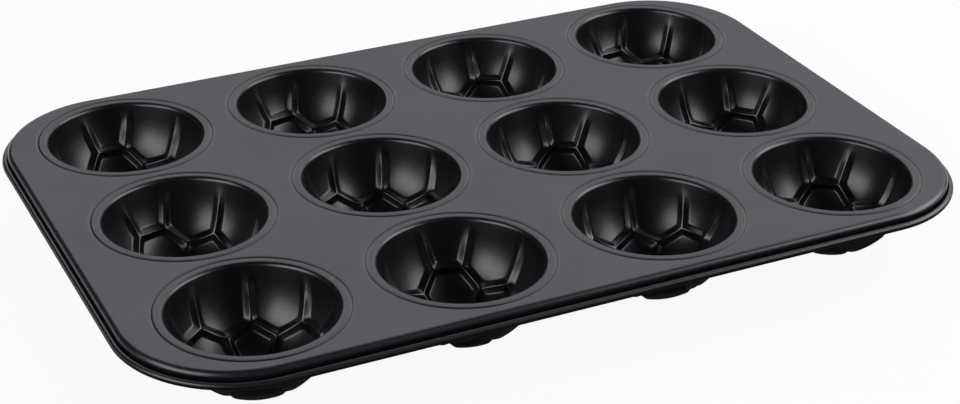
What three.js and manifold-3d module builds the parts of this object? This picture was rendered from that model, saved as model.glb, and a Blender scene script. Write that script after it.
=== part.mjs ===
// Muffin pan with cups drawn as half footballs, in millimetres, with +Z up and +X along the long side.
// A flat sheet plate has a wired edge, and the cups hang in its holes by their flanges, which lie flush in
// seats pressed down into the plate. The pan stands on its cups at z = 0, and inside the pan group z = 0 is
// the plate's top face.

import * as THREE from 'three';
import { mergeVertices } from 'three/addons/utils/BufferGeometryUtils.js';
import loadManifold from 'manifold-3d';

const wasm = await loadManifold();
wasm.setup();

// Layout of the cups, with the turn of each in degrees: back row first, left to right
const cupTurns = [
  [30, 42, 119, 38],
  [45, 66, 1, 104],
  [73, 17, 79, 119],
];
const rowNames = ['back', 'middle', 'front'];
const columnLand = 12.1; // bare plate between two flanges along X
const rowLand = 4.5; // bare plate between two flanges along Y
const endLand = 11.4; // bare plate between an end cup's flange and the shoulder
const sideLand = 2.9; // bare plate between a side cup's flange and the shoulder

// Plate and its edge
const plateSheet = 0.7;
const cornerRadius = 46; // of the flat top's outline
const shoulderRadius = 3.6; // outside of the bend from the top into the wall
const wallHeight = 1.7; // from the shoulder down to the level of the wire
const wireRadius = 0.6;
const wireClearance = 0.3;
const curlGap = 0.3; // slit between the curl's cut edge and the wall

// Cup
const cupSheet = 0.7;
const ballRadius = 33.9; // inside of the panels
const ballDrop = 2.0; // from the plate's top face down to the ball's centre
const lipRadius = 2.4; // on the lip's upper side
const neckHeight = 1.7; // from the ball's centre down to where the ribs start to fade
const ribHeight = 1.4;
const ribWidth = 6.4;
const flangeWidth = 2.9; // flat part of the flange

// Fit of a cup in its seat
const seatClearance = 0.3; // round the flange's edge
const stepRun = 0.3; // how far the step leans out on its way up from the seat
const seatMargin = 0.3; // of flat plate round the step
const holeClearance = 0.6; // round the start of the lip
const lockClearance = 0.3; // from the seat's underside to the lock bead
const lockHeight = 1.8;
const lockOverlap = 0.8; // how far the lock bead reaches past the hole's edge

// Seam corners of the ball in degrees: polar from straight down, azimuth from the middle of the
// nearest five-sided panel. The pattern repeats three times round the cup.
const floorPolar = 21.7;
const floorAzimuth = 30;
const kneePolar = 42.9;
const kneeAzimuth = 26.5;
const crownPolar = 52.4;
const sidePolar = 57.8;
const sideAzimuth = 46.9;
const sideTopAzimuth = 41; // where the rib that rises from a side corner meets the neck
const repeats = 3;

// Facets
const holeSteps = 24;
const cornerSteps = 6;
const shoulderSteps = 3;
const curlSteps = 7;
const lipSteps = 2;
const wireSides = 6;
const weldDistance = 1e-4; // points closer than this become one

// Sizes worked out from those above
const columns = cupTurns[0].length;
const rows = cupTurns.length;
const ballOutside = ballRadius + cupSheet;
const mouthRadius = ballRadius + lipRadius;
const flangeRadius = mouthRadius + flangeWidth;
const holeRadius = mouthRadius + holeClearance;
const seatRadius = (flangeRadius + seatClearance) / Math.cos(Math.PI / holeSteps); // at the facets' corners
const stepRadius = seatRadius + stepRun;
const seatEdge = stepRadius + plateSheet + seatMargin;
const ribTopPolar = THREE.MathUtils.radToDeg(Math.acos(neckHeight / ballRadius));
const columnPitch = 2 * flangeRadius + columnLand;
const rowPitch = 2 * flangeRadius + rowLand;
const topHalfLength = (columns - 1) / 2 * columnPitch + flangeRadius + endLand;
const topHalfWidth = (rows - 1) / 2 * rowPitch + flangeRadius + sideLand;
const curlInside = wireRadius + wireClearance;
const curlOutside = curlInside + plateSheet;
const wireOut = shoulderRadius + curlInside; // from the flat top's outline out to the wire
const wireUp = -(shoulderRadius + wallHeight);

// Points of an arc in a plane, angles in radians
function arc(x, y, radius, from, to, steps) {
  return Array.from({ length: steps + 1 }, (_, i) => {
    const angle = from + (to - from) * i / steps;
    return new THREE.Vector2(x + radius * Math.cos(angle), y + radius * Math.sin(angle));
  });
}

// The same for a whole circle, without coming back to the first point
function circle(x, y, radius, steps) {
  return arc(x, y, radius, 0, 2 * Math.PI, steps).slice(0, -1);
}

// One closed geometry from loose triangles, given as a list of corner points
function closedGeometry(corners) {
  const loose = new THREE.BufferGeometry().setFromPoints(corners);
  const geometry = mergeVertices(loose, weldDistance);
  geometry.computeVertexNormals();
  return geometry;
}

// Joins closed geometries into one
function joined(geometries) {
  const solids = geometries.map((geometry) => {
    const bare = new THREE.BufferGeometry();
    bare.setAttribute('position', geometry.getAttribute('position'));
    bare.setIndex(geometry.index);
    const merged = mergeVertices(bare, weldDistance);
    return new wasm.Manifold(new wasm.Mesh({
      numProp: 3,
      vertProperties: new Float32Array(merged.getAttribute('position').array),
      triVerts: new Uint32Array(merged.index.array),
    }));
  });
  const mesh = wasm.Manifold.union(solids).getMesh();
  const geometry = new THREE.BufferGeometry();
  geometry.setAttribute('position', new THREE.BufferAttribute(mesh.vertProperties, 3));
  geometry.setIndex(new THREE.BufferAttribute(mesh.triVerts, 1));
  geometry.computeVertexNormals();
  return geometry;
}

// Bands of triangles between closed rings of points, each ring with as many points as the next
function bands(rings) {
  const corners = [];
  for (let level = 0; level + 1 < rings.length; level++) {
    const [low, high] = [rings[level], rings[level + 1]];
    low.forEach((point, i) => {
      const next = (i + 1) % low.length;
      corners.push(point, high[i], low[next], low[next], high[i], high[next]);
    });
  }
  return corners;
}

// Stations round the flat top's outline: a point and the way out of the plate
function outlineStations() {
  const stations = [];
  for (let corner = 0; corner < 4; corner++) {
    const centreX = (corner === 0 || corner === 3 ? 1 : -1) * (topHalfLength - cornerRadius);
    const centreY = (corner < 2 ? 1 : -1) * (topHalfWidth - cornerRadius);
    for (let i = 0; i <= cornerSteps; i++) {
      const angle = Math.PI / 2 * (corner + i / cornerSteps);
      const out = new THREE.Vector2(Math.cos(angle), Math.sin(angle));
      const point = new THREE.Vector2(centreX, centreY).addScaledVector(out, cornerRadius);
      stations.push({ point, out });
    }
  }
  return stations;
}

// Closed ring swept round the outline from a closed profile of (outward, up) points, taken clockwise
function sweptRing(profile) {
  const stations = outlineStations();
  const rings = profile.map((p) => stations.map(({ point, out }) =>
    new THREE.Vector3(point.x + out.x * p.x, point.y + out.y * p.x, p.y)));
  return closedGeometry(bands([...rings, rings[0]]));
}

// Name, place and turn of each cup
function cupPlaces() {
  return cupTurns.flatMap((turns, row) => turns.map((turn, column) => ({
    name: `cup_${rowNames[row]}_${column + 1}`,
    x: (column - (columns - 1) / 2) * columnPitch,
    y: ((rows - 1) / 2 - row) * rowPitch,
    turn: THREE.MathUtils.degToRad(turn),
  })));
}

// Ring of plate round a hole, from the seat under the flange up a step to the flat top
function seatGeometry({ x, y }) {
  const profile = [
    [holeRadius, -cupSheet],
    [seatRadius, -cupSheet],
    [stepRadius, 0],
    [seatEdge, 0],
    [seatEdge, -plateSheet],
    [stepRadius + plateSheet, -plateSheet],
    [seatRadius + plateSheet, -cupSheet - plateSheet],
    [holeRadius, -cupSheet - plateSheet],
  ];
  const rings = profile.map(([radius, height]) => circle(x, y, radius, holeSteps).map((point) =>
    new THREE.Vector3(point.x, point.y, height)));
  return closedGeometry(bands([...rings, rings[0]]));
}

// The flat top with the seats in its holes, and the shoulder, wall and curl swept round it
function plateGeometry() {
  const flat = new THREE.Shape(outlineStations().map(({ point }) => point));
  for (const { x, y } of cupPlaces()) {
    flat.holes.push(new THREE.Path(circle(x, y, (stepRadius + seatEdge) / 2, holeSteps)));
  }
  const top = new THREE.ExtrudeGeometry(flat, { depth: plateSheet, bevelEnabled: false });
  top.translate(0, 0, -plateSheet);
  const curlEnd = 2 * Math.PI + Math.acos((curlGap - curlInside) / curlOutside);
  const edge = sweptRing([
    new THREE.Vector2(-plateSheet, 0),
    ...arc(0, -shoulderRadius, shoulderRadius, Math.PI / 2, 0, shoulderSteps),
    ...arc(wireOut, wireUp, curlInside, Math.PI, curlEnd, curlSteps),
    ...arc(wireOut, wireUp, curlOutside, curlEnd, Math.PI, curlSteps),
    ...arc(0, -shoulderRadius, shoulderRadius - plateSheet, 0, Math.PI / 2, shoulderSteps),
    new THREE.Vector2(-plateSheet, -plateSheet),
  ]);
  return joined([closedGeometry(looseCorners(top)), edge, ...cupPlaces().map(seatGeometry)]);
}

// Corner points of every triangle of a geometry
function looseCorners(geometry) {
  const loose = geometry.index ? geometry.toNonIndexed() : geometry;
  const position = loose.getAttribute('position');
  return Array.from({ length: position.count }, (_, i) =>
    new THREE.Vector3().fromBufferAttribute(position, i));
}

function wireGeometry() {
  return sweptRing(circle(wireOut, wireUp, wireRadius, wireSides).reverse());
}

// Unit vector from the ball's centre at a polar angle from straight down and an azimuth, in degrees
function direction(polar, azimuth) {
  const [p, a] = [polar, azimuth].map(THREE.MathUtils.degToRad);
  return new THREE.Vector3(Math.sin(p) * Math.cos(a), Math.sin(p) * Math.sin(a), -Math.cos(p));
}

// The ball's panels, each a list of seam corners taken anticlockwise as seen from above. The panels
// of the top row are open: their first and last corners are the tops of two neighbouring ribs.
function footballPanels() {
  const third = 360 / repeats;
  const panels = [];
  const floor = [];
  for (let turn = 0; turn < 360; turn += third) {
    const at = (polar, azimuth) => direction(polar, turn + azimuth);
    const [floorLeft, floorRight] = [at(floorPolar, -floorAzimuth), at(floorPolar, floorAzimuth)];
    const floorNext = at(floorPolar, third - floorAzimuth);
    const [kneeLeft, kneeRight] = [at(kneePolar, -kneeAzimuth), at(kneePolar, kneeAzimuth)];
    const kneeNext = at(kneePolar, third - kneeAzimuth);
    const crown = at(crownPolar, 0);
    const [sideLeft, sideRight] = [at(sidePolar, -sideAzimuth), at(sidePolar, sideAzimuth)];
    const sideNext = at(sidePolar, third - sideAzimuth);
    const top = (azimuth) => at(ribTopPolar, azimuth);
    floor.push(floorLeft, floorRight);
    panels.push(
      { corners: [floorRight, floorLeft, kneeLeft, crown, kneeRight] },
      { corners: [floorNext, floorRight, kneeRight, sideRight, sideNext, kneeNext] },
      { open: true, corners: [top(0), crown, kneeLeft, sideLeft, top(-sideTopAzimuth)] },
      { open: true, corners: [top(sideTopAzimuth), sideRight, kneeRight, crown, top(0)] },
      { open: true, corners: [top(third - sideTopAzimuth), sideNext, sideRight, top(sideTopAzimuth)] },
    );
  }
  return [{ corners: floor, flat: true }, ...panels];
}

// Inward normal of the plane through the ball's centre and the seam from one corner to the next
function seamNormal(from, to) {
  return to.clone().cross(from).normalize();
}

// Where a panel's own face starts, half a rib's width inside the corner between two seams
function faceCorner(corner, before, after, inset) {
  const cross = before.clone().cross(after);
  const along = before.clone().add(after).multiplyScalar(inset / (1 + before.dot(after)));
  const rest = Math.sqrt(1 - along.lengthSq()) / cross.length() * Math.sign(cross.dot(corner));
  return along.addScaledVector(cross, rest);
}

// The same at the top of a rib, where the face ends on the neck's circle
function faceTop(top, normal, inset) {
  const round = Math.hypot(top.x, top.y);
  const middle = Math.atan2(normal.y, normal.x);
  const swing = Math.acos((inset - normal.z * top.z) / round / Math.hypot(normal.x, normal.y));
  const [one, other] = [middle + swing, middle - swing].map((angle) =>
    new THREE.Vector3(round * Math.cos(angle), round * Math.sin(angle), top.z));
  return one.distanceTo(top) < other.distanceTo(top) ? one : other;
}

// Directions of a panel's face: its corners in step with the seam corners, its middle, and the middle of
// the top edge that an open panel has
function panelFace({ corners, open }) {
  const inset = Math.sin(ribWidth / 2 / ballRadius);
  const last = corners.length - 1;
  const normals = corners.map((corner, i) => seamNormal(corner, corners[(i + 1) % corners.length]));
  const face = corners.map((corner, i) => {
    if (open && i === 0) return faceTop(corner, normals[0], inset);
    if (open && i === last) return faceTop(corner, normals[last - 1], inset);
    return faceCorner(corner, normals[(i + last) % corners.length], normals[i], inset);
  });
  const middle = corners.reduce((sum, corner) => sum.add(corner), new THREE.Vector3()).normalize();
  const ringMiddle = face[0].clone().add(face[last]).setZ(0).setLength(Math.hypot(face[0].x, face[0].y));
  ringMiddle.z = face[0].z;
  return { face, middle, ringMiddle };
}

const panels = footballPanels().map((panel) => ({ ...panel, ...panelFace(panel) }));
const footDepth = ballDrop - ballOutside * panels.find(({ flat }) => flat).face[0].z;

// The point that lies a radius away from the ball's centre along a unit vector
function onBall(unit, radius) {
  return unit.clone().multiplyScalar(radius).setZ(unit.z * radius - ballDrop);
}

// Triangles of the ball's surface at a radius, facing its centre
function ballCorners(radius) {
  const corners = [];
  for (const panel of panels) {
    const seam = panel.corners.map((corner) => onBall(corner, radius - ribHeight));
    const face = panel.face.map((corner) => onBall(corner, radius));
    const middle = onBall(panel.middle, radius);
    if (panel.flat) middle.z = face[0].z;
    const count = seam.length;
    for (let i = 0; i < count - (panel.open ? 1 : 0); i++) {
      const next = (i + 1) % count;
      corners.push(seam[i], seam[next], face[i], seam[next], face[next], face[i]);
      corners.push(face[i], face[next], middle);
    }
    if (panel.open) {
      const top = onBall(panel.ringMiddle, radius);
      corners.push(face[count - 1], top, middle, top, face[0], middle);
    }
  }
  return corners;
}

// Top edge of the ball, anticlockwise: rib, face, middle of the face, face for each panel of the top row
function topEdge(radius) {
  const fullTurn = 2 * Math.PI;
  const azimuth = ({ ringMiddle: { x, y } }) => (Math.atan2(y, x) + fullTurn) % fullTurn;
  const topRow = panels.filter(({ open }) => open).sort((a, b) => azimuth(a) - azimuth(b));
  return topRow.flatMap(({ corners, face, ringMiddle }) => [
    onBall(corners.at(-1), radius - ribHeight),
    onBall(face.at(-1), radius),
    onBall(ringMiddle, radius),
    onBall(face[0], radius),
  ]);
}

// A cup about its own axis: the inside of the ball, then up the neck, over the lip and flange, back
// under the flange, round the lock bead and down the outside of the ball
function cupGeometry() {
  const inside = topEdge(ballRadius);
  const outside = topEdge(ballOutside);
  const lockTop = -(cupSheet + plateSheet + lockClearance);
  const underLip = lipRadius - cupSheet;
  const lockStart = mouthRadius - Math.sqrt(underLip ** 2 - (lipRadius + lockTop) ** 2);
  const profile = [
    ...arc(mouthRadius, -lipRadius, lipRadius, Math.PI, Math.PI / 2, lipSteps),
    new THREE.Vector2(flangeRadius, 0),
    new THREE.Vector2(flangeRadius, -cupSheet),
    new THREE.Vector2(mouthRadius, -cupSheet),
    new THREE.Vector2(lockStart, lockTop),
    new THREE.Vector2(holeRadius + lockOverlap, lockTop - lockHeight / 2),
    new THREE.Vector2(ballOutside, lockTop - lockHeight),
  ];
  const rings = profile.map(({ x: radius, y: height }) => inside.map((point) =>
    new THREE.Vector3(point.x, point.y, 0).setLength(radius).setZ(height)));
  return closedGeometry([
    ...ballCorners(ballRadius),
    ...bands([inside, ...rings, outside]),
    ...ballCorners(ballOutside).reverse(),
  ]);
}

// Scene graph
const pan = new THREE.Group();
pan.position.z = footDepth;

function place(name, geometry, color, roughness, metalness) {
  const mesh = new THREE.Mesh(geometry, new THREE.MeshStandardMaterial({ color, roughness, metalness }));
  mesh.name = name;
  pan.add(mesh);
  return mesh;
}

place('top_plate', plateGeometry(), 0x3b3c3f, 0.55, 0.2);
place('rim_wire', wireGeometry(), 0x8a8c90, 0.4, 1.0);
const cup = cupGeometry();
for (const { name, x, y, turn } of cupPlaces()) {
  const mesh = place(name, cup, 0x2b2c2f, 0.4, 0.2);
  mesh.position.set(x, y, 0);
  mesh.rotation.z = turn;
}

export default pan;
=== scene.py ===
"""Muffin pan with cups drawn as half footballs: the looks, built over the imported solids.

Lengths are in metres, in the part's own frame: the cups stand on z = 0, +X runs along the long side
and +Z points up out of the cups. Heights in the plate's and cups' profiles are from the plate's top face.
"""

import math

import bmesh
import bpy
import numpy as np
from mathutils import Matrix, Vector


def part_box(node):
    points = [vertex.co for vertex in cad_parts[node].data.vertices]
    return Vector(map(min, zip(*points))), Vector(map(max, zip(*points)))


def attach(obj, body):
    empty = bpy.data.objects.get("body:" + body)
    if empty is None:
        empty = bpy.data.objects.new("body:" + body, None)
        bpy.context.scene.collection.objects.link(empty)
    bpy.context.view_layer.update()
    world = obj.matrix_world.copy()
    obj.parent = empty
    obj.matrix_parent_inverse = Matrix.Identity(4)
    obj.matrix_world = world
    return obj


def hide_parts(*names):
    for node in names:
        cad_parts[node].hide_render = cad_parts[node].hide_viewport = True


bl_info = {
    "name": "Muffin pan",
    "version": (1, 0, 0),
    "blender": (4, 5, 0),
    "location": "View3D > Sidebar > Pan",
    "description": "Builds the coated plate and the football cups of a muffin pan over its solids",
    "category": "Mesh",
}

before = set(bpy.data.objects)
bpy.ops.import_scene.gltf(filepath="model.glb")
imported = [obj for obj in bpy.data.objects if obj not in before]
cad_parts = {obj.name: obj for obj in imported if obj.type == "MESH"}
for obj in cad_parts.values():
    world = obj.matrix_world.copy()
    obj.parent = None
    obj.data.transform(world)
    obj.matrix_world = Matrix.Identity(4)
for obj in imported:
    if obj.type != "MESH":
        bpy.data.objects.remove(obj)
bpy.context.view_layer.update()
PLATE_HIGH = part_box("top_plate")[1]
PLATE_TOP = PLATE_HIGH.z
MM = 0.001

# Turn of each cup's ball pattern in degrees, left to right
CUP_TURNS = {
    "back": (30, 42, 119, 38),
    "middle": (45, 66, 1, 104),
    "front": (73, 17, 79, 119),
}

# Seam corners of the ball in degrees: polar from straight down, azimuth from the middle of the nearest
# five-sided panel. The pattern repeats three times round the cup.
FLOOR = (21.7, 30.0)
KNEE = (42.9, 26.5)
CROWN = (52.4, 0.0)
SIDE = (57.8, 46.9)
SIDE_TOP_AZIMUTH = 41.0
THIRD = 120.0

# Fineness of the surfaces
CELL_STEPS = 144
CELL_ROWS = 5
SHOULDER_STEPS = 14
CURL_STEPS = 28
SEAM_STEPS = 14
TOP_EDGE_STEPS = 20
LIP_STEPS = 18
EDGE_STEPS = 5
LOCK_STEPS = 14
INSIDE_RINGS = (18, 6)  # over the rib, and over the rest of the panel
OUTSIDE_RINGS = (10, 3)
RIB_SHARE = 0.38  # of the way from a panel's border to its middle
WELD = 1e-6
SHARP_ANGLE = math.radians(38)

# Small turns of the shapes
SEAM_OVERRUN = 0.1  # of an upright seam past the ball's middle, as a share of it
FOOT_BLEND = 0.4 * MM  # rounding between a cup's flat foot and its ball
RIM_TURN = (0.2, 0.5)  # upward facing at which the rim goes over from painted shade, a near-black matt coat, to its gloss

# Lumps to the metre in the finishes
PEEL_SCALE = 1100.0
GRAIN_SCALE = 4200.0
CLOUD_SCALE = 26.0
DRAWN_SCALE = 2600.0
PATCH_SCALE = 90.0
FLOOR_SCALE = 6.0

# Darkest and palest tone of each finish, as shares of its colour
COATING_TONES = (0.72, 1.35)
WIRE_TONES = (0.82, 1.1)
FLOOR_TONES = (0.985, 1.0)
SPECULAR_TINT = (0.95, 0.94, 1.0, 1.0)
BUMP_HEIGHT = 0.02 * MM
CREST_RUB = 0.25

# Soft boxes: azimuth from +X and elevation in degrees, then distance, width and height in metres
LEFT_BOX = (-163, 23.5, 1.3, 1.1, 0.76)
RIGHT_BOX = (-21, 28, 1.4, 1.45, 0.8)
BACK_PANEL = (58, 42, 2.0, 3.1, 2.3)
ROOM_COLOUR = (0.9, 0.93, 1.0, 1.0)
ROOM_STRENGTH = 0.02
FLOOR_HALF = 6.0
FLOOR_LINES = 3
SENSOR_WIDTH = 36.0
CLIP_RANGE = (0.01, 50.0)
WHITE = (1.0, 1.0, 1.0, 1.0)


def length(name, description, millimetres):
    """A length that the user may change, given in millimetres."""
    return bpy.props.FloatProperty(
        name=name, description=description, default=millimetres * MM, min=0.0, precision=5, unit="LENGTH")


def share(name, description, default):
    """A number from 0 to 1 that the user may change."""
    return bpy.props.FloatProperty(
        name=name, description=description, default=default, min=0.0, max=1.0, subtype="FACTOR")


def strength(name, description, default, low=0.0):
    """A number without a unit that the user may change."""
    return bpy.props.FloatProperty(
        name=name, description=description, default=default, min=low, subtype="UNSIGNED")


def colour(name, description, default):
    """A colour that the user may change, in linear values."""
    return bpy.props.FloatVectorProperty(
        name=name, description=description, default=default, size=3, min=0.0, max=1.0, subtype="COLOR")


class PanSizes(bpy.types.PropertyGroup):
    """Sizes of the pan."""

    column_pitch: length("Column pitch", "Between the middles of two cups along the long side", 90.5)
    row_pitch: length("Row pitch", "Between the middles of two cups across the pan", 82.9)
    top_length: length("Top length", "Length of the plate's flat top", 374.3)
    top_width: length("Top width", "Width of the plate's flat top", 251.0)
    corner_radius: length("Corner radius", "Of the flat top's outline", 46.8)
    plate_sheet: length("Plate sheet", "Thickness of the plate's sheet", 0.7)
    shoulder_radius: length("Shoulder radius", "Outside of the bend from the top into the wall", 2.8)
    wall_height: length("Wall height", "From the shoulder down to the level of the wire", 2.5)
    curl_inside: length("Curl inside", "Inside radius of the rolled edge", 0.9)
    curl_gap: length("Curl gap", "Slit between the rolled edge's cut end and the wall", 0.3)
    hole_radius: length("Hole radius", "Of the holes that the cups hang in", 36.9)
    seat_gap: length("Seat gap", "Between a flange's edge and the step round its seat", 0.15)
    crease_run: length("Crease run", "How far from that gap the sheets begin to bend down to it", 1.7)
    crease_depth: length("Crease depth", "How far they have bent down at the gap", 0.45)
    # The flat faces' paler matt skin paints in the sheen they catch; this depth is where it gives way to the
    # glossy coat below them.
    satin_depth: length("Satin depth", "Below the flat faces, where their skin has given way to gloss", 0.13)
    cup_sheet: length("Cup sheet", "Thickness of a cup's sheet", 0.7)
    ball_radius: length("Ball radius", "Inside radius of a cup's panels", 33.9)
    ball_drop: length("Ball drop", "From the plate's top face down to the ball's middle", 2.3)
    rib_height: length("Rib height", "Of the ribs between the panels", 1.4)
    rib_width: length("Rib width", "Of a rib at its foot", 6.6)
    rib_crest: share("Rib crest", "Share of a rib's flank that its round crest takes", 0.16)
    rib_foot: share("Rib foot", "Share of a rib's flank that its hollow foot takes", 0.28)
    rib_blend: length("Rib blend", "Rounding where two ribs meet", 0.3)
    rib_end: length("Rib end", "Above the ball's middle, where a rib has run out", 0.8)
    rib_fade: length("Rib fade", "Height over which a rib runs out", 13.0)
    mouth_radius: length("Mouth radius", "Where a cup's lip has turned flat", 36.6)
    lip_radius: length("Lip radius", "Of the turn from a cup's inside into its flange", 2.2)
    flange_width: length("Flange width", "Flat part of a cup's flange", 2.6)
    lock_clearance: length("Lock clearance", "From a seat's underside to the bead that locks a cup", 0.3)
    lock_height: length("Lock height", "Height of that bead", 1.8)
    lock_overlap: length("Lock overlap", "How far that bead reaches past the hole's edge", 0.8)


class PanFinish(bpy.types.PropertyGroup):
    """Colours and gloss of the pan."""

    plate_colour: colour("Plate colour", "Of the plate's coating", (0.009, 0.0085, 0.0125))
    plate_roughness: share("Plate roughness", "Of the plate's coating", 0.31)
    plate_ior: strength("Plate IOR", "Strength of the plate's gloss", 1.65, 1.0)
    cup_colour: colour("Cup colour", "Of the cups' coating", (0.0037, 0.0034, 0.0054))
    cup_roughness: share("Cup roughness", "Of the cups' coating", 0.3)
    cup_ior: strength("Cup IOR", "Strength of the cups' gloss", 1.65, 1.0)
    # Painted sheen: a paler matt skin on the flat faces, whose colour stands in for the sheen they catch, and
    # how far it covers the glossy coat.
    satin_colour: colour("Satin colour", "Of the flat faces' matt skin", (0.1315, 0.1285, 0.147))
    satin_share: share("Satin share", "How far that skin covers the gloss", 0.75)
    # Painted shade: a near-black matt coat on the rim where it faces down or sideways, under the pan and on
    # the cups' outsides, and how far it covers the gloss.
    painted_shade_colour: colour("Outside colour", "Of the dull coat on the rim and under the pan",
                           (0.0037, 0.0035, 0.005))
    painted_shade_share: share("Outside dullness", "How far that coat lacks gloss", 0.965)
    wire_colour: colour("Wire colour", "Of the drawn steel wire", (0.55, 0.55, 0.56))
    wire_roughness: share("Wire roughness", "Of the drawn steel wire", 0.34)


class PanStage(bpy.types.PropertyGroup):
    """Floor, lamps and camera."""

    floor_colour: colour("Floor colour", "Of the floor", (0.93, 0.93, 0.93))
    floor_lift: share("Floor lift", "How far the floor is lifted to white where it is seen", 0.93)
    left_light: strength("Left light", "Radiance of the soft box on the left", 3.4)
    right_light: strength("Right light", "Radiance of the soft box on the right", 3.75)
    back_light: strength("Back light", "Radiance of the wide panel behind the pan", 1.15)
    lens: bpy.props.FloatProperty(
        name="Lens", description="Focal length in millimetres on a 36 mm wide sensor",
        default=77.723, min=1.0, unit="CAMERA")
    camera_place: bpy.props.FloatVectorProperty(
        name="Camera place", description="Where the camera stands, from the middle of the plate's top",
        default=(-0.35995, -0.74651, 0.42007), size=3, subtype="TRANSLATION")
    camera_heading: bpy.props.FloatProperty(
        name="Camera heading", description="Turn of the view from +Y towards +X",
        default=math.radians(25.946), subtype="ANGLE")
    camera_tilt: bpy.props.FloatProperty(
        name="Camera tilt", description="Angle of the view below the horizon",
        default=math.radians(28.213), subtype="ANGLE")
    camera_roll: bpy.props.FloatProperty(
        name="Camera roll", description="Turn of the picture about the view",
        default=math.radians(0.483), subtype="ANGLE")


class Value:
    """A number that varies over a surface. Arithmetic on it adds Math nodes."""

    def __init__(self, shader, socket):
        self.shader, self.socket = shader, socket

    def _math(self, operation, first, second):
        return self.shader.node("ShaderNodeMath", {"operation": operation}, {0: first, 1: second})

    def __add__(self, other):
        return self._math("ADD", self, other)

    __radd__ = __add__

    def __sub__(self, other):
        return self._math("SUBTRACT", self, other)

    def __mul__(self, other):
        return self._math("MULTIPLY", self, other)

    __rmul__ = __mul__

    def at_least(self, other):
        return self._math("MAXIMUM", self, other)


class Shader:
    """The nodes of one material or world."""

    def __init__(self, tree):
        self.tree = tree
        tree.nodes.clear()

    def node(self, kind, settings=None, inputs=None, output=0):
        """Adds a node: its settings first, then the values or links of its sockets. Gives one output."""
        made = self.tree.nodes.new(kind)
        for name, value in (settings or {}).items():
            setattr(made, name, value)
        for name, value in (inputs or {}).items():
            if isinstance(value, Value):
                self.tree.links.new(value.socket, made.inputs[name])
            else:
                made.inputs[name].default_value = value
        return Value(self, made.outputs[output]) if made.outputs else None

    def noise(self, place, scale, detail=2.0, roughness=0.5):
        """Cloudy noise about 0.5, with about this many lumps to the metre."""
        return self.node("ShaderNodeTexNoise", None,
                         {"Vector": place, "Scale": scale, "Detail": detail, "Roughness": roughness}, "Fac")

    def matt(self, base, normal=None):
        """Surface with no gloss."""
        inputs = {"Base Color": base, "Roughness": 1.0, "Specular IOR Level": 0.0}
        if normal:
            inputs["Normal"] = normal
        return self.node("ShaderNodeBsdfPrincipled", None, inputs)

    def blend(self, factor, first, second):
        """Colour between two colours."""
        return self.node("ShaderNodeMix", {"data_type": "RGBA"}, {0: factor, 6: first, 7: second}, 2)


def new_material(name):
    """An empty material and its nodes."""
    material = bpy.data.materials.new(name)
    material.use_nodes = True
    return material, Shader(material.node_tree)


def toned(shader, factor, rgb, tones):
    """A finish's colour between its darkest and its palest tone."""
    dark, pale = ((*(channel * tone for channel in rgb), 1.0) for tone in tones)
    return shader.blend(factor, dark, pale)


def coated_sheet(name, rgb, roughness, ior, rub, finish):
    """Baked coating on sheet metal: a fine orange-peel skin with still finer grain, a faint cloudy tone,
    and a smoother, slightly paler look along the crests that the mesh marks. Where the mesh is marked as flat
    face, most of it is a paler matt skin that paints in sheen, and where it is marked as outside, a
    near-black matt coat that paints in shade."""
    material, shader = new_material(name)
    place = shader.node("ShaderNodeTexCoord", None, None, "Object")
    peel = shader.noise(place, PEEL_SCALE)
    grain = shader.noise(place, GRAIN_SCALE, 3.0, 0.6)
    cloud = shader.noise(place, CLOUD_SCALE, 3.0)
    crest, satin, outside = (
        shader.node("ShaderNodeAttribute", {"attribute_name": mark}, None, "Fac") for mark in Shell.MARKS)
    tone = 0.45 * cloud + 0.35 * grain + 0.1 * peel + rub * crest
    # Colours of the glossy coat, of the matt skin that paints in sheen and of the matt coat that paints in
    # shade
    base, satin_base, painted_shade_base = (
        toned(shader, tone, coat, COATING_TONES)
        for coat in (rgb, finish.satin_colour, finish.painted_shade_colour))
    rough = (roughness - 0.07) + 0.06 * cloud + 0.05 * peel + 0.04 * grain - 0.25 * rub * crest
    normal = shader.node("ShaderNodeBump", None, {
        "Strength": 0.35, "Distance": BUMP_HEIGHT, "Height": 0.7 * peel + 0.3 * grain}, "Normal")
    glossy = shader.node("ShaderNodeBsdfPrincipled", None, {
        "Base Color": base, "Roughness": rough, "Normal": normal, "IOR": ior,
        "Specular Tint": SPECULAR_TINT})
    # Painted sheen: the flat faces are mostly the paler matt skin
    face = shader.node("ShaderNodeMixShader", None,
                       {0: finish.satin_share * satin, 1: glossy, 2: shader.matt(satin_base, normal)})
    # Painted shade: the outside is mostly the near-black matt coat
    surface = shader.node("ShaderNodeMixShader", None,
                          {0: finish.painted_shade_share * outside, 1: face, 2: shader.matt(painted_shade_base, normal)})
    shader.node("ShaderNodeOutputMaterial", None, {"Surface": surface})
    return material


def drawn_wire(name, rgb, roughness):
    """Drawn steel: metal with fine uneven gloss and a few duller patches."""
    material, shader = new_material(name)
    place = shader.node("ShaderNodeTexCoord", None, None, "Object")
    drawn = shader.noise(place, DRAWN_SCALE, 3.0, 0.6)
    patch = shader.noise(place, PATCH_SCALE)
    base = toned(shader, patch, rgb, WIRE_TONES)
    rough = (roughness - 0.1) + 0.12 * drawn + 0.1 * patch
    normal = shader.node("ShaderNodeBump", None,
                         {"Strength": 0.3, "Distance": BUMP_HEIGHT, "Height": drawn}, "Normal")
    surface = shader.node("ShaderNodeBsdfPrincipled", None,
                          {"Base Color": base, "Roughness": rough, "Normal": normal, "Metallic": 1.0})
    shader.node("ShaderNodeOutputMaterial", None, {"Surface": surface})
    return material


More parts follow.
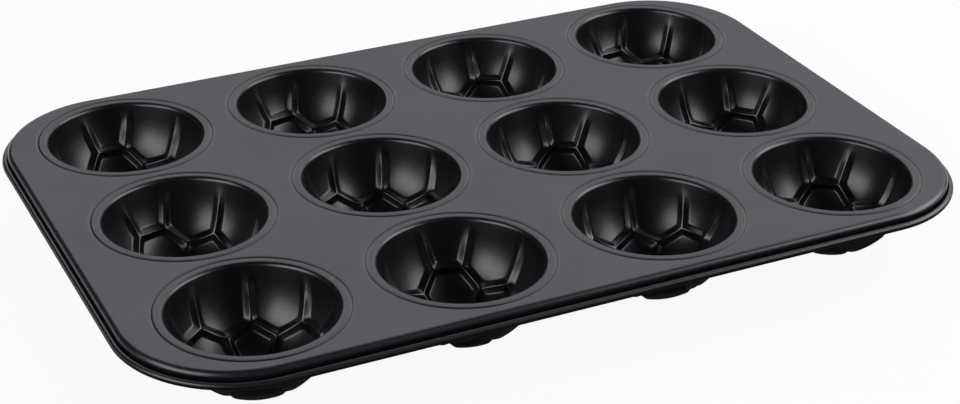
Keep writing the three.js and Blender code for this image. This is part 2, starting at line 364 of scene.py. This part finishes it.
def pale_floor(name, rgb, lift):
    """Matt floor with faint unevenness, lifted towards white where the camera or a reflection sees it, so
    that the shadow on it stays."""
    material, shader = new_material(name)
    place = shader.node("ShaderNodeTexCoord", None, None, "Object")
    uneven = shader.noise(place, FLOOR_SCALE)
    matt = shader.matt(toned(shader, uneven, rgb, FLOOR_TONES))
    white = shader.node("ShaderNodeEmission", None, {"Color": WHITE, "Strength": 1.0})
    path = shader.tree.nodes.new("ShaderNodeLightPath")
    seen, mirrored, through = (
        Value(shader, path.outputs[f"Is {kind} Ray"]) for kind in ("Camera", "Glossy", "Transmission"))
    factor = seen.at_least(mirrored).at_least(through) * lift
    surface = shader.node("ShaderNodeMixShader", None, {0: factor, 1: matt, 2: white})
    shader.node("ShaderNodeOutputMaterial", None, {"Surface": surface})
    return material


class Shell:
    """A closed mesh put together from grids of points, whose shared borders are welded at the end. Its points
    are marked with how far each is up a rib's crest, how far each lies on a flat face, where a paler matt
    skin paints in sheen, and whether it is on the outside, where a near-black matt coat paints in shade."""

    MARKS = ("crest", "satin", "outside")

    def __init__(self):
        self.points, self.quads, self.count = [], [], 0
        self.marks = {mark: [] for mark in self.MARKS}

    def add(self, grid, flip=False, **marks):
        """Adds a grid of points, rows by columns by 3, whose last column meets its first. Each quad joins
        two neighbouring rows and columns. A mark is one number or one for each point."""
        rows, columns = grid.shape[:2]
        row, column = np.meshgrid(np.arange(rows - 1), np.arange(columns), indexing="ij")
        near, far = row * columns, (row + 1) * columns
        after = (column + 1) % columns
        quads = np.stack([near + column, near + after, far + after, far + column], axis=-1).reshape(-1, 4)
        self.quads.append((quads[:, ::-1] if flip else quads) + self.count)
        self.points.append(grid.reshape(-1, 3))
        for mark, values in self.marks.items():
            values.append(np.broadcast_to(marks.get(mark, 0.0), (rows, columns)).ravel())
        self.count += rows * columns

    def mesh(self, name):
        """The welded mesh, smooth apart from its sharp edges."""
        points, quads = np.concatenate(self.points), np.concatenate(self.quads)
        mesh = bpy.data.meshes.new(name)
        mesh.vertices.add(len(points))
        mesh.vertices.foreach_set("co", points.astype(np.float32).ravel())
        mesh.loops.add(quads.size)
        mesh.loops.foreach_set("vertex_index", quads.astype(np.int32).ravel())
        mesh.polygons.add(len(quads))
        mesh.polygons.foreach_set("loop_start", np.arange(len(quads), dtype=np.int32) * quads.shape[1])
        mesh.update(calc_edges=True)
        for mark, values in self.marks.items():
            layer = mesh.attributes.new(mark, "FLOAT", "POINT")
            layer.data.foreach_set("value", np.concatenate(values).astype(np.float32))
        work = bmesh.new()
        work.from_mesh(mesh)
        bmesh.ops.remove_doubles(work, verts=work.verts, dist=WELD)
        work.to_mesh(mesh)
        work.free()
        mesh.shade_smooth()
        mesh.set_sharp_from_angle(angle=SHARP_ANGLE)
        return mesh


def shown(name, mesh, material, node):
    """Puts a finished mesh in the scene in place of its CAD node."""
    mesh.materials.append(material)
    piece = bpy.data.objects.new(name, mesh)
    bpy.context.scene.collection.objects.link(piece)
    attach(piece, "root")
    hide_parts(node)


def arc(across, up, radius, start, end, steps):
    """Points of an arc about (across, up), from one angle to another in radians."""
    angle = np.linspace(start, end, steps + 1)
    return np.stack([across + radius * np.cos(angle), up + radius * np.sin(angle)], axis=-1)


def swept(profile, stations, outward):
    """Grid of a profile of (outward, up) points carried along a closed line on the plate: each row is one
    point of the profile, moved out from every station."""
    flat = stations[None] + outward[None] * profile[:, None, :1]
    up = np.broadcast_to(profile[:, None, 1:], (*flat.shape[:2], 1))
    return np.concatenate([flat, PLATE_TOP + up], axis=-1)


def cup_places(sizes):
    """Node name, middle and turn in radians of each cup."""
    for row, (name, turns) in enumerate(CUP_TURNS.items()):
        for column, turn in enumerate(turns):
            x = (column - (len(turns) - 1) / 2) * sizes.column_pitch
            y = ((len(CUP_TURNS) - 1) / 2 - row) * sizes.row_pitch
            yield f"cup_{name}_{column + 1}", x, y, math.radians(turn)


def outline_reach(middle, way, half, radius):
    """How far rays run from a middle along unit vectors to a rectangle with round corners: to the nearer
    straight side, or, where that side would be met past the start of the corner, to the corner's circle."""
    with np.errstate(divide="ignore"):
        straight = ((np.copysign(half, way) - middle) / way).min(axis=-1)
    met = middle + way * straight[:, None]
    in_corner = (np.abs(met) > half - radius).all(axis=-1)
    corner = np.copysign(half - radius, met)
    offset = middle - corner
    along = (way * offset).sum(axis=-1)
    square = np.maximum(along ** 2 - (offset ** 2).sum(axis=-1) + radius ** 2, 0.0)
    return np.where(in_corner, np.sqrt(square) - along, straight)


def crease(gap_side, way, sizes):
    """Top of a sheet that bends down to the gap round a flange, as (radius, height) points: an arc from the
    flat to the sheet's edge, which lies the way given by its sign."""
    run, depth = sizes.crease_run, sizes.crease_depth
    bend = (run ** 2 + depth ** 2) / (2 * depth)
    upright = math.pi / 2
    return arc(gap_side - way * run, -bend, bend, upright, upright - way * math.asin(run / bend), EDGE_STEPS)


def plate_cells(sizes):
    """The flat top as one cell round each cup, whose border is half-way to the next cup or the top's outline.
    Gives each cell's middle, unit vectors round it and their reach to its border, and the points of the
    borders that lie on the outline."""
    half = np.array([sizes.top_length, sizes.top_width]) / 2
    pitch = np.array([sizes.column_pitch, sizes.row_pitch])
    last = pitch * (np.array([len(CUP_TURNS["back"]), len(CUP_TURNS)]) - 1) / 2
    even = np.arange(CELL_STEPS) * (2 * math.pi / CELL_STEPS)
    cells, border = [], []
    for _, x, y, _ in cup_places(sizes):
        middle = np.array([x, y])
        high = np.where(middle > last - WELD, half - middle, pitch / 2)
        low = np.where(middle < WELD - last, half + middle, pitch / 2)
        corners = np.arctan2([high[1], high[1], -low[1], -low[1]], [high[0], -low[0], -low[0], high[0]])
        angle = np.unique(np.concatenate([even, corners % (2 * math.pi)]))
        way = np.stack([np.cos(angle), np.sin(angle)], axis=-1)
        outline = outline_reach(middle, way, half, sizes.corner_radius)
        inner = np.where(way > 0, np.where(middle > last - WELD, np.inf, pitch / 2),
                         np.where(middle < WELD - last, np.inf, pitch / 2))
        with np.errstate(divide="ignore"):
            between = (inner / np.abs(way)).min(axis=-1)
        reach = np.minimum(outline, between)
        cells.append((middle, way, reach))
        border.append((middle + way * reach[:, None])[outline < between + WELD])
    return cells, np.concatenate(border)


def outline_stations(border, sizes):
    """The outline's points in order round the plate, without doubles, and the unit vectors out of it."""
    border = border[np.argsort(np.arctan2(border[:, 1], border[:, 0]))]
    step = np.linalg.norm(border - np.roll(border, 1, axis=0), axis=-1)
    stations = border[step > WELD]
    inner = np.array([sizes.top_length, sizes.top_width]) / 2 - sizes.corner_radius
    outward = stations - np.clip(stations, -inner, inner)
    return stations, outward / np.linalg.norm(outward, axis=-1, keepdims=True)


def edge_profile(sizes):
    """The plate's edge from the top's outline round to its underside: a quarter turn of shoulder, the wall,
    the inside of the roll up to its cut end, and back along the roll's outside, the wall and shoulder."""
    shoulder, sheet = sizes.shoulder_radius, sizes.plate_sheet
    across, up = shoulder + sizes.curl_inside, -(shoulder + sizes.wall_height)
    outside = PLATE_HIGH.x - sizes.top_length / 2 - across
    end = 2 * math.pi + math.acos((sizes.curl_gap - sizes.curl_inside) / outside)
    return np.concatenate([
        arc(0, -shoulder, shoulder, math.pi / 2, 0, SHOULDER_STEPS),
        arc(across, up, sizes.curl_inside, math.pi, end, CURL_STEPS),
        arc(across, up, outside, end, math.pi, CURL_STEPS),
        arc(0, -shoulder, shoulder - sheet, 0, math.pi / 2, SHOULDER_STEPS),
    ])


def facing_up(profile):
    """How far a sheet faces up at each point of a profile with the outside on its left: 1 where it runs level
    to the right, and 0 where it is upright."""
    along = np.gradient(profile, axis=0)
    return along[:, :1] / np.linalg.norm(along, axis=-1, keepdims=True)


def satin_mark(height, sizes):
    """Mark of the flat faces' paler matt skin, which paints in sheen, for a profile's points by their height,
    as a
    column: 1 on the flat faces, falling to 0 a little below them."""
    return np.clip(1 + height / sizes.satin_depth, 0.0, 1.0)[:, None]


def seat_profile(sizes):
    """The sheet round a hole as (radius, height) points: from the flat top round the step's edge, down the
    step, in along the seat to the hole, back below it and up behind the step to the flat underside."""
    sheet, deep = sizes.plate_sheet, sizes.cup_sheet
    step = sizes.mouth_radius + sizes.flange_width + sizes.seat_gap
    return np.concatenate([
        crease(step, -1, sizes),
        [[step, -deep], [sizes.hole_radius, -deep], [sizes.hole_radius, -deep - sheet]],
        arc(step, -deep, sheet, -math.pi / 2, 0, EDGE_STEPS),
        [[step + sheet, -sheet]],
    ])


def plate_mesh(sizes):
    """The plate: each cell from its border along the top, through the seat and back along the underside, and
    the rolled edge swept round them all."""
    cells, border = plate_cells(sizes)
    stations, outward = outline_stations(border, sizes)
    seat = seat_profile(sizes)
    part = np.linspace(0.0, 1.0, CELL_ROWS + 1)[:-1, None]
    height = np.concatenate([np.zeros(CELL_ROWS), seat[:, 1], np.full(CELL_ROWS, -sizes.plate_sheet)])
    shell = Shell()
    for middle, way, reach in cells:
        top = reach + (seat[0, 0] - reach) * part
        under = reach + (seat[-1, 0] - reach) * part[::-1]
        distance = np.concatenate([top, np.broadcast_to(seat[:, :1], (len(seat), len(way))), under])
        flat = middle + way * distance[..., None]
        up = np.broadcast_to(PLATE_TOP + height[:, None, None], (*distance.shape, 1))
        # Painted sheen on the flat top, and painted shade, a near-black matt coat, under it below the crease
        shell.add(np.concatenate([flat, up], axis=-1), satin=satin_mark(height, sizes),
                  outside=height[:, None] < -sizes.crease_depth)
    edge = edge_profile(sizes)
    # Painted shade on the rim where it faces down or sideways; painted sheen on the very top of the shoulder
    shell.add(swept(edge, stations, outward), flip=True, satin=satin_mark(edge[:, 1], sizes),
              outside=1.0 - ease(*RIM_TURN, facing_up(edge)))
    return shell.mesh("top_plate_sheet")


def unit(vectors):
    """Vectors at length 1."""
    return vectors / np.linalg.norm(vectors, axis=-1, keepdims=True)


def direction(polar, azimuth):
    """Unit vector at a polar angle from straight down and an azimuth, in degrees."""
    polar, azimuth = math.radians(polar), math.radians(azimuth)
    around = math.sin(polar)
    return np.array([around * math.cos(azimuth), around * math.sin(azimuth), -math.cos(polar)])


def past(start, end):
    """Unit vector a little further than the end along the great circle from the start."""
    return unit(end + SEAM_OVERRUN * (end - start))


def ball_pattern():
    """The football: its seams as pairs of corners, and its panels as lists of corners. The top row's panels
    are open: their sides end level with the ball's middle, and the seams between them go on upwards."""
    seams, floor, closed, top_row = [], [], [], []
    for turn in np.arange(0.0, 360.0, THIRD):
        def at(corner, side=1, turn=turn):
            return direction(corner[0], turn + side * corner[1])

        floor_left, floor_right = at(FLOOR, -1), at(FLOOR)
        knee_left, knee_right = at(KNEE, -1), at(KNEE)
        side_left, side_right = at(SIDE, -1), at(SIDE)
        crown = at(CROWN)
        floor_next, knee_next, side_next = (at(corner, -1, turn + THIRD) for corner in (FLOOR, KNEE, SIDE))
        top = at((90.0, 0.0))
        top_left, top_right = at((90.0, SIDE_TOP_AZIMUTH), -1), at((90.0, SIDE_TOP_AZIMUTH))
        top_next = at((90.0, SIDE_TOP_AZIMUTH), -1, turn + THIRD)
        floor += [floor_left, floor_right]
        closed += [
            [floor_right, floor_left, knee_left, crown, knee_right],
            [floor_next, floor_right, knee_right, side_right, side_next, knee_next],
        ]
        top_row += [
            [top, crown, knee_left, side_left, top_left],
            [top_right, side_right, knee_right, crown, top],
            [top_next, side_next, side_right, top_right],
        ]
        seams += [
            (floor_left, floor_right), (floor_right, floor_next), (floor_left, knee_left),
            (floor_right, knee_right), (knee_left, crown), (knee_right, crown), (knee_right, side_right),
            (knee_left, side_left), (side_right, side_next), (crown, past(crown, top)),
            (side_right, past(side_right, top_right)), (side_left, past(side_left, top_left)),
        ]
    return np.array(seams), [floor] + closed, top_row


def seam_distance(ways, seams, blend):
    """Angle from unit vectors to the nearest seam, rounded where two seams are about as near: the angle to
    the seam's great circle, or past its ends to the nearer end, joined by a soft minimum."""
    start, end = seams[:, 0], seams[:, 1]
    normal = unit(np.cross(start, end))
    beside = (ways @ np.cross(normal, start).T > 0) & (ways @ np.cross(end, normal).T > 0)
    to_circle = np.arcsin(np.clip(np.abs(ways @ normal.T), 0, 1))
    to_end = np.arccos(np.clip(np.maximum(ways @ start.T, ways @ end.T), -1, 1))
    angle = np.where(beside, to_circle, to_end)
    return np.maximum(-blend * np.log(np.exp(-angle / blend).sum(axis=-1)), 0.0)


def ease(low, high, value):
    """0 below low, 1 above high, and a smooth S between them."""
    part = np.clip((value - low) / (high - low), 0.0, 1.0)
    return part * part * (3 - 2 * part)


def bead(across, crest, foot):
    """Height of a bead from 1 on its crest to 0 at its foot, for shares of the way across its flank: a
    straight slope with a parabola at the crest and a hollow one at the foot."""
    across = np.minimum(across, 1.0)
    slope = 1 / (1 - crest / 2 - foot / 2)
    return slope * np.select(
        [across < crest, across < 1 - foot],
        [1 / slope - across ** 2 / (2 * crest), 1 / slope + crest / 2 - across],
        (1 - across) ** 2 / (2 * foot))


def neck_slope(sizes):
    """Angle off upright of the neck, the straight wall that touches both the ball and the lip's circle."""
    across, up = sizes.mouth_radius, sizes.ball_drop - sizes.lip_radius
    return math.acos((sizes.ball_radius + sizes.lip_radius) / math.hypot(across, up)) - math.atan2(up, across)


def lip_reach(ways, sizes):
    """Distance from the ball's middle along unit vectors to the lip: the nearer crossing of the lip's circle
    in the plane of the vector and the cup's axis."""
    mouth, lip, up = sizes.mouth_radius, sizes.lip_radius, sizes.ball_drop - sizes.lip_radius
    toward = mouth * np.hypot(ways[..., 0], ways[..., 1]) + up * ways[..., 2]
    return toward - np.sqrt(np.maximum(toward ** 2 - mouth ** 2 - up ** 2 + lip ** 2, 0.0))


def ball_points(ways, seams, radius, rib_end, sizes):
    """Points of the ball along unit vectors, from its middle, and how far each is up a rib. The radius is
    that of the panels, of a flat foot over the floor panel, of the straight neck or of the lip above it, less
    the height of the ribs. A rib is a round bead that runs out at a height above the ball's middle."""
    inset = seam_distance(ways, seams, sizes.rib_blend / sizes.ball_radius) * sizes.ball_radius
    rib = bead(inset / (sizes.rib_width / 2), sizes.rib_crest, sizes.rib_foot)
    rib *= ease(-rib_end, sizes.rib_fade - rib_end, -ways[..., 2] * radius)
    outside = sizes.ball_radius + sizes.cup_sheet
    foot = (PLATE_TOP - sizes.ball_drop) * radius / outside
    flat = foot / np.maximum(-ways[..., 2], WELD)
    share_flat = np.clip(0.5 + (radius - flat) / (2 * FOOT_BLEND), 0.0, 1.0)
    reach = radius + (flat - radius) * share_flat - FOOT_BLEND * share_flat * (1 - share_flat)
    slope, lip = neck_slope(sizes), sizes.lip_radius
    around, up = np.hypot(ways[..., 0], ways[..., 1]), ways[..., 2]
    neck = radius / (math.cos(slope) * around - math.sin(slope) * up)
    reach = np.where(up > -math.sin(slope), neck, reach)
    lip_start = math.atan2(
        sizes.ball_drop - lip + lip * math.sin(slope), sizes.mouth_radius - lip * math.cos(slope))
    reach = np.where(up > math.sin(lip_start), lip_reach(ways, sizes), reach)
    return ways * (reach - sizes.rib_height * rib)[..., None], rib


def great_arc(start, end, steps):
    """Unit vectors from one to another along the great circle, the last left out."""
    span = math.acos(float(np.clip(start @ end, -1, 1)))
    part = np.arange(steps)[:, None] / steps
    return (np.sin((1 - part) * span) * start + np.sin(part * span) * end) / math.sin(span)


def cut_rib(foot, top, level):
    """The point of a rib's great circle at a height, given its corner below and its point at height 0."""
    span = math.acos(float(np.clip(foot @ top, -1, 1)))
    part = 1 - math.asin(level * math.sin(span) / foot[2]) / span
    return (math.sin((1 - part) * span) * foot + math.sin(part * span) * top) / math.sin(span)


def top_edge(start, end, steps):
    """Unit vectors along a level circle from one to another, the shorter way, the last left out."""
    first = math.atan2(start[1], start[0])
    sweep = (math.atan2(end[1], end[0]) - first + math.pi) % (2 * math.pi) - math.pi
    angle = first + sweep * np.arange(steps) / steps
    round_ = math.hypot(start[0], start[1])
    return np.stack([round_ * np.cos(angle), round_ * np.sin(angle), np.full(steps, start[2])], axis=-1)


def panel_border(corners, is_open, level):
    """Unit vectors round a panel. An open panel ends on the level circle at a height on the unit ball."""
    if not is_open:
        return np.concatenate([
            great_arc(start, end, SEAM_STEPS) for start, end in zip(corners, corners[1:] + corners[:1])])
    corners = list(corners)
    corners[0] = cut_rib(corners[1], corners[0], level)
    corners[-1] = cut_rib(corners[-2], corners[-1], level)
    seams = [great_arc(start, end, SEAM_STEPS) for start, end in zip(corners, corners[1:])]
    return np.concatenate([*seams, top_edge(corners[-1], corners[0], TOP_EDGE_STEPS)])


def panel_fan(border, rings):
    """Unit vectors over a panel: a grid of rings that shrink from its border to its middle, in small steps
    over the rib and wider ones over the rest."""
    middle = unit(border.mean(axis=0))
    over_rib, over_rest = rings
    part = np.concatenate([np.linspace(0, RIB_SHARE, over_rib), np.linspace(RIB_SHARE, 1, over_rest + 1)[1:]])
    part = part[:, None, None]
    return unit(border[None] * (1 - part) + middle * part)


def rim_profile(sizes):
    """A cup's rim as (radius, height) points: from where the ribs have run out over the lip, along the flange
    and round its edge, back under it, and down round the bead that locks the cup under its seat."""
    sheet, lip, mouth, slope = sizes.cup_sheet, sizes.lip_radius, sizes.mouth_radius, neck_slope(sizes)
    flange = mouth + sizes.flange_width
    start = math.pi - math.asin((lip - sizes.ball_drop + sizes.rib_end) / lip)
    lock_top = -(sheet + sizes.plate_sheet + sizes.lock_clearance)
    lock_turn = math.pi - math.asin((lock_top + lip) / (lip - sheet))
    neck = arc(mouth, -lip, lip - sheet, math.pi / 2, lock_turn, LIP_STEPS)
    lock_foot = lock_top - sizes.lock_height + sizes.ball_drop
    lock_end = (sizes.ball_radius + sheet + math.sin(slope) * lock_foot) / math.cos(slope)
    part = np.linspace(0.0, 1.0, LOCK_STEPS + 1)
    straight = neck[-1, 0] + (lock_end - neck[-1, 0]) * part
    bulge = sizes.hole_radius + sizes.lock_overlap - (neck[-1, 0] + lock_end) / 2
    lock = np.stack([straight + bulge * np.sin(math.pi * part), lock_top - sizes.lock_height * part], axis=-1)
    return np.concatenate([
        arc(mouth, -lip, lip, start, math.pi / 2, LIP_STEPS),
        crease(flange, 1, sizes),
        [[flange, -sheet]],
        neck,
        lock[1:],
    ])


def top_azimuths(top_row, level):
    """Azimuths of the points along the top edges of the open panels, cut at a height on the unit ball."""
    edge = np.concatenate([panel_border(corners, True, level)[-TOP_EDGE_STEPS:] for corners in top_row])
    return np.arctan2(edge[:, 1], edge[:, 0])


def rim_grid(rim, first, last):
    """The rim turned round the cup's axis, with its points' azimuths going over from the inside's top edge to
    the outside's."""
    order = np.argsort(first)
    turn = (last - first + math.pi) % (2 * math.pi) - math.pi
    azimuth = first[order] + turn[order] * np.linspace(0.0, 1.0, len(rim))[:, None]
    radius, up = (np.broadcast_to(column[:, None], azimuth.shape) for column in rim.T)
    return np.stack([radius * np.cos(azimuth), radius * np.sin(azimuth), up], axis=-1)


def cup_mesh(sizes):
    """A cup about its own axis, with heights from the plate's top face: the panels inside, the rim turned
    round the axis, and the panels outside."""
    seams, closed, top_row = ball_pattern()
    inside, outside = sizes.ball_radius, sizes.ball_radius + sizes.cup_sheet
    rim = rim_profile(sizes)
    ends = rim[[0, -1], 1] + sizes.ball_drop
    levels = ends / np.hypot(rim[[0, -1], 0], ends)
    middle = np.array([0.0, 0.0, -sizes.ball_drop])
    shell = Shell()
    panels = [(corners, False) for corners in closed] + [(corners, True) for corners in top_row]
    sides = zip((inside, outside), ends, levels, (INSIDE_RINGS, OUTSIDE_RINGS), (True, False))
    for radius, rib_end, level, rings, facing_in in sides:
        for corners, is_open in panels:
            ways = panel_fan(panel_border(corners, is_open, level), rings)
            points, rib = ball_points(ways, seams, radius, rib_end, sizes)
            # Painted shade: the cups' outsides get the near-black matt coat
            shell.add(points + middle, flip=not facing_in, crest=rib * facing_in, outside=not facing_in)
    # On the rim, painted sheen on the flange's flat top, and painted shade on all past the flange's outer
    # edge
    under = np.arange(len(rim))[:, None] > rim[:, 0].argmax()
    shell.add(rim_grid(rim, *(top_azimuths(top_row, level) for level in levels)), flip=True,
              satin=satin_mark(rim[:, 1], sizes), outside=under)
    return shell.mesh("cup_sheet")


class PAN_OT_make_plate(bpy.types.Operator):
    """Build the plate with its holes and rolled edge"""

    bl_idname = "pan.make_plate"
    bl_label = "Make the plate"

    def execute(self, context):
        sizes, finish = context.scene.pan_sizes, context.scene.pan_finish
        coating = coated_sheet(
            "plate_coating", finish.plate_colour, finish.plate_roughness, finish.plate_ior, 0.0, finish)
        shown("top_plate_sheet", plate_mesh(sizes), coating, "top_plate")
        return {"FINISHED"}


class PAN_OT_make_cups(bpy.types.Operator):
    """Build the cups, each turned its own way, and hang them in the plate"""

    bl_idname = "pan.make_cups"
    bl_label = "Make the cups"

    def execute(self, context):
        sizes, finish = context.scene.pan_sizes, context.scene.pan_finish
        coating = coated_sheet(
            "cup_coating", finish.cup_colour, finish.cup_roughness, finish.cup_ior, CREST_RUB, finish)
        pattern = cup_mesh(sizes)
        for node, x, y, turn in cup_places(sizes):
            mesh = pattern.copy()
            mesh.name = f"{node}_sheet"
            mesh.transform(Matrix.Translation((x, y, PLATE_TOP)) @ Matrix.Rotation(turn, 4, "Z"))
            shown(f"{node}_sheet", mesh, coating, node)
        bpy.data.meshes.remove(pattern)
        return {"FINISHED"}


class PAN_OT_finish_wire(bpy.types.Operator):
    """Give the wire in the rolled edge its drawn steel"""

    bl_idname = "pan.finish_wire"
    bl_label = "Finish the wire"

    def execute(self, context):
        finish = context.scene.pan_finish
        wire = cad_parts["rim_wire"]
        wire.data.materials.clear()
        wire.data.materials.append(drawn_wire("wire_steel", finish.wire_colour, finish.wire_roughness))
        return {"FINISHED"}


def soft_box(name, azimuth, elevation, distance, width, height, radiance):
    """A lamp as a lit rectangle that faces the pan, at an azimuth from +X and an elevation in degrees."""
    azimuth, elevation = math.radians(azimuth), math.radians(elevation)
    lamp = bpy.data.lights.new(name, "AREA")
    lamp.shape = "RECTANGLE"
    lamp.size, lamp.size_y = width, height
    lamp.energy = radiance * math.pi * width * height
    box = bpy.data.objects.new(name, lamp)
    turn = Matrix.Rotation(azimuth + math.pi / 2, 4, "Z") @ Matrix.Rotation(math.pi / 2 - elevation, 4, "X")
    box.matrix_world = Matrix.Translation((0, 0, PLATE_TOP)) @ turn @ Matrix.Translation((0, 0, distance))
    box.visible_camera = False
    bpy.context.scene.collection.objects.link(box)


def lay_floor(scene, stage):
    """A square floor at z = 0, as a grid of a few points a side."""
    line = np.linspace(-FLOOR_HALF, FLOOR_HALF, FLOOR_LINES)
    x, y = np.meshgrid(line, line)
    corner = np.arange(FLOOR_LINES * FLOOR_LINES).reshape(FLOOR_LINES, FLOOR_LINES)
    quads = np.stack([corner[:-1, :-1], corner[:-1, 1:], corner[1:, 1:], corner[1:, :-1]], axis=-1)
    mesh = bpy.data.meshes.new("floor")
    mesh.from_pydata(np.stack([x.ravel(), y.ravel(), 0 * x.ravel()], axis=-1).tolist(), [],
                     quads.reshape(-1, 4).tolist())
    mesh.materials.append(pale_floor("pale_floor", stage.floor_colour, stage.floor_lift))
    floor = bpy.data.objects.new("floor", mesh)
    scene.collection.objects.link(floor)


def light_room(scene, stage):
    """Two soft boxes, a wide panel behind the pan, and a faint room round them."""
    soft_box("left_box", *LEFT_BOX, stage.left_light)
    soft_box("right_box", *RIGHT_BOX, stage.right_light)
    soft_box("back_panel", *BACK_PANEL, stage.back_light)
    world = bpy.data.worlds.new("studio")
    scene.world = world
    world.use_nodes = True
    shader = Shader(world.node_tree)
    room = shader.node("ShaderNodeBackground", None, {"Color": ROOM_COLOUR, "Strength": ROOM_STRENGTH})
    shader.node("ShaderNodeOutputWorld", None, {"Surface": room})


def place_camera(scene, stage):
    """The camera at its place over the plate's top, turned by its heading, tilt and roll."""
    camera = bpy.data.cameras.new("camera")
    camera.sensor_width, camera.lens = SENSOR_WIDTH, stage.lens
    camera.clip_start, camera.clip_end = CLIP_RANGE
    holder = bpy.data.objects.new("camera", camera)
    scene.collection.objects.link(holder)
    holder.matrix_world = (
        Matrix.Translation((0, 0, PLATE_TOP))
        @ Matrix.Translation(stage.camera_place)
        @ Matrix.Rotation(-stage.camera_heading, 4, "Z")
        @ Matrix.Rotation(math.pi / 2 - stage.camera_tilt, 4, "X")
        @ Matrix.Rotation(stage.camera_roll, 4, "Z"))
    scene.camera = holder


class PAN_OT_set_stage(bpy.types.Operator):
    """Set the floor, the soft studio light and the camera"""

    bl_idname = "pan.set_stage"
    bl_label = "Set the stage"

    def execute(self, context):
        scene, stage = context.scene, context.scene.pan_stage
        lay_floor(scene, stage)
        light_room(scene, stage)
        place_camera(scene, stage)
        scene.view_settings.view_transform = "Standard"
        return {"FINISHED"}


class VIEW3D_PT_muffin_pan(bpy.types.Panel):
    """The pan's pieces, sizes and finishes"""

    bl_label = "Muffin pan"
    bl_space_type = "VIEW_3D"
    bl_region_type = "UI"
    bl_category = "Pan"

    def draw(self, context):
        layout = self.layout
        for maker in OPERATORS:
            layout.operator(maker.bl_idname)
        for group in (context.scene.pan_sizes, context.scene.pan_finish, context.scene.pan_stage):
            box = layout.box()
            for name in group.__annotations__:
                box.prop(group, name)


OPERATORS = (PAN_OT_make_plate, PAN_OT_make_cups, PAN_OT_finish_wire, PAN_OT_set_stage)
GROUPS = {"pan_sizes": PanSizes, "pan_finish": PanFinish, "pan_stage": PanStage}


def register():
    """Adds the classes and the scene's groups of properties to Blender."""
    for made in (*GROUPS.values(), *OPERATORS, VIEW3D_PT_muffin_pan):
        bpy.utils.register_class(made)
    for name, group in GROUPS.items():
        setattr(bpy.types.Scene, name, bpy.props.PointerProperty(type=group))


def unregister():
    """Takes them out again."""
    for name in GROUPS:
        delattr(bpy.types.Scene, name)
    for made in (VIEW3D_PT_muffin_pan, *OPERATORS[::-1], *GROUPS.values()):
        bpy.utils.unregister_class(made)


def main():
    """Builds every piece and the stage."""
    register()
    bpy.ops.pan.make_plate()
    bpy.ops.pan.make_cups()
    bpy.ops.pan.finish_wire()
    bpy.ops.pan.set_stage()


if __name__ == "__main__":
    main()
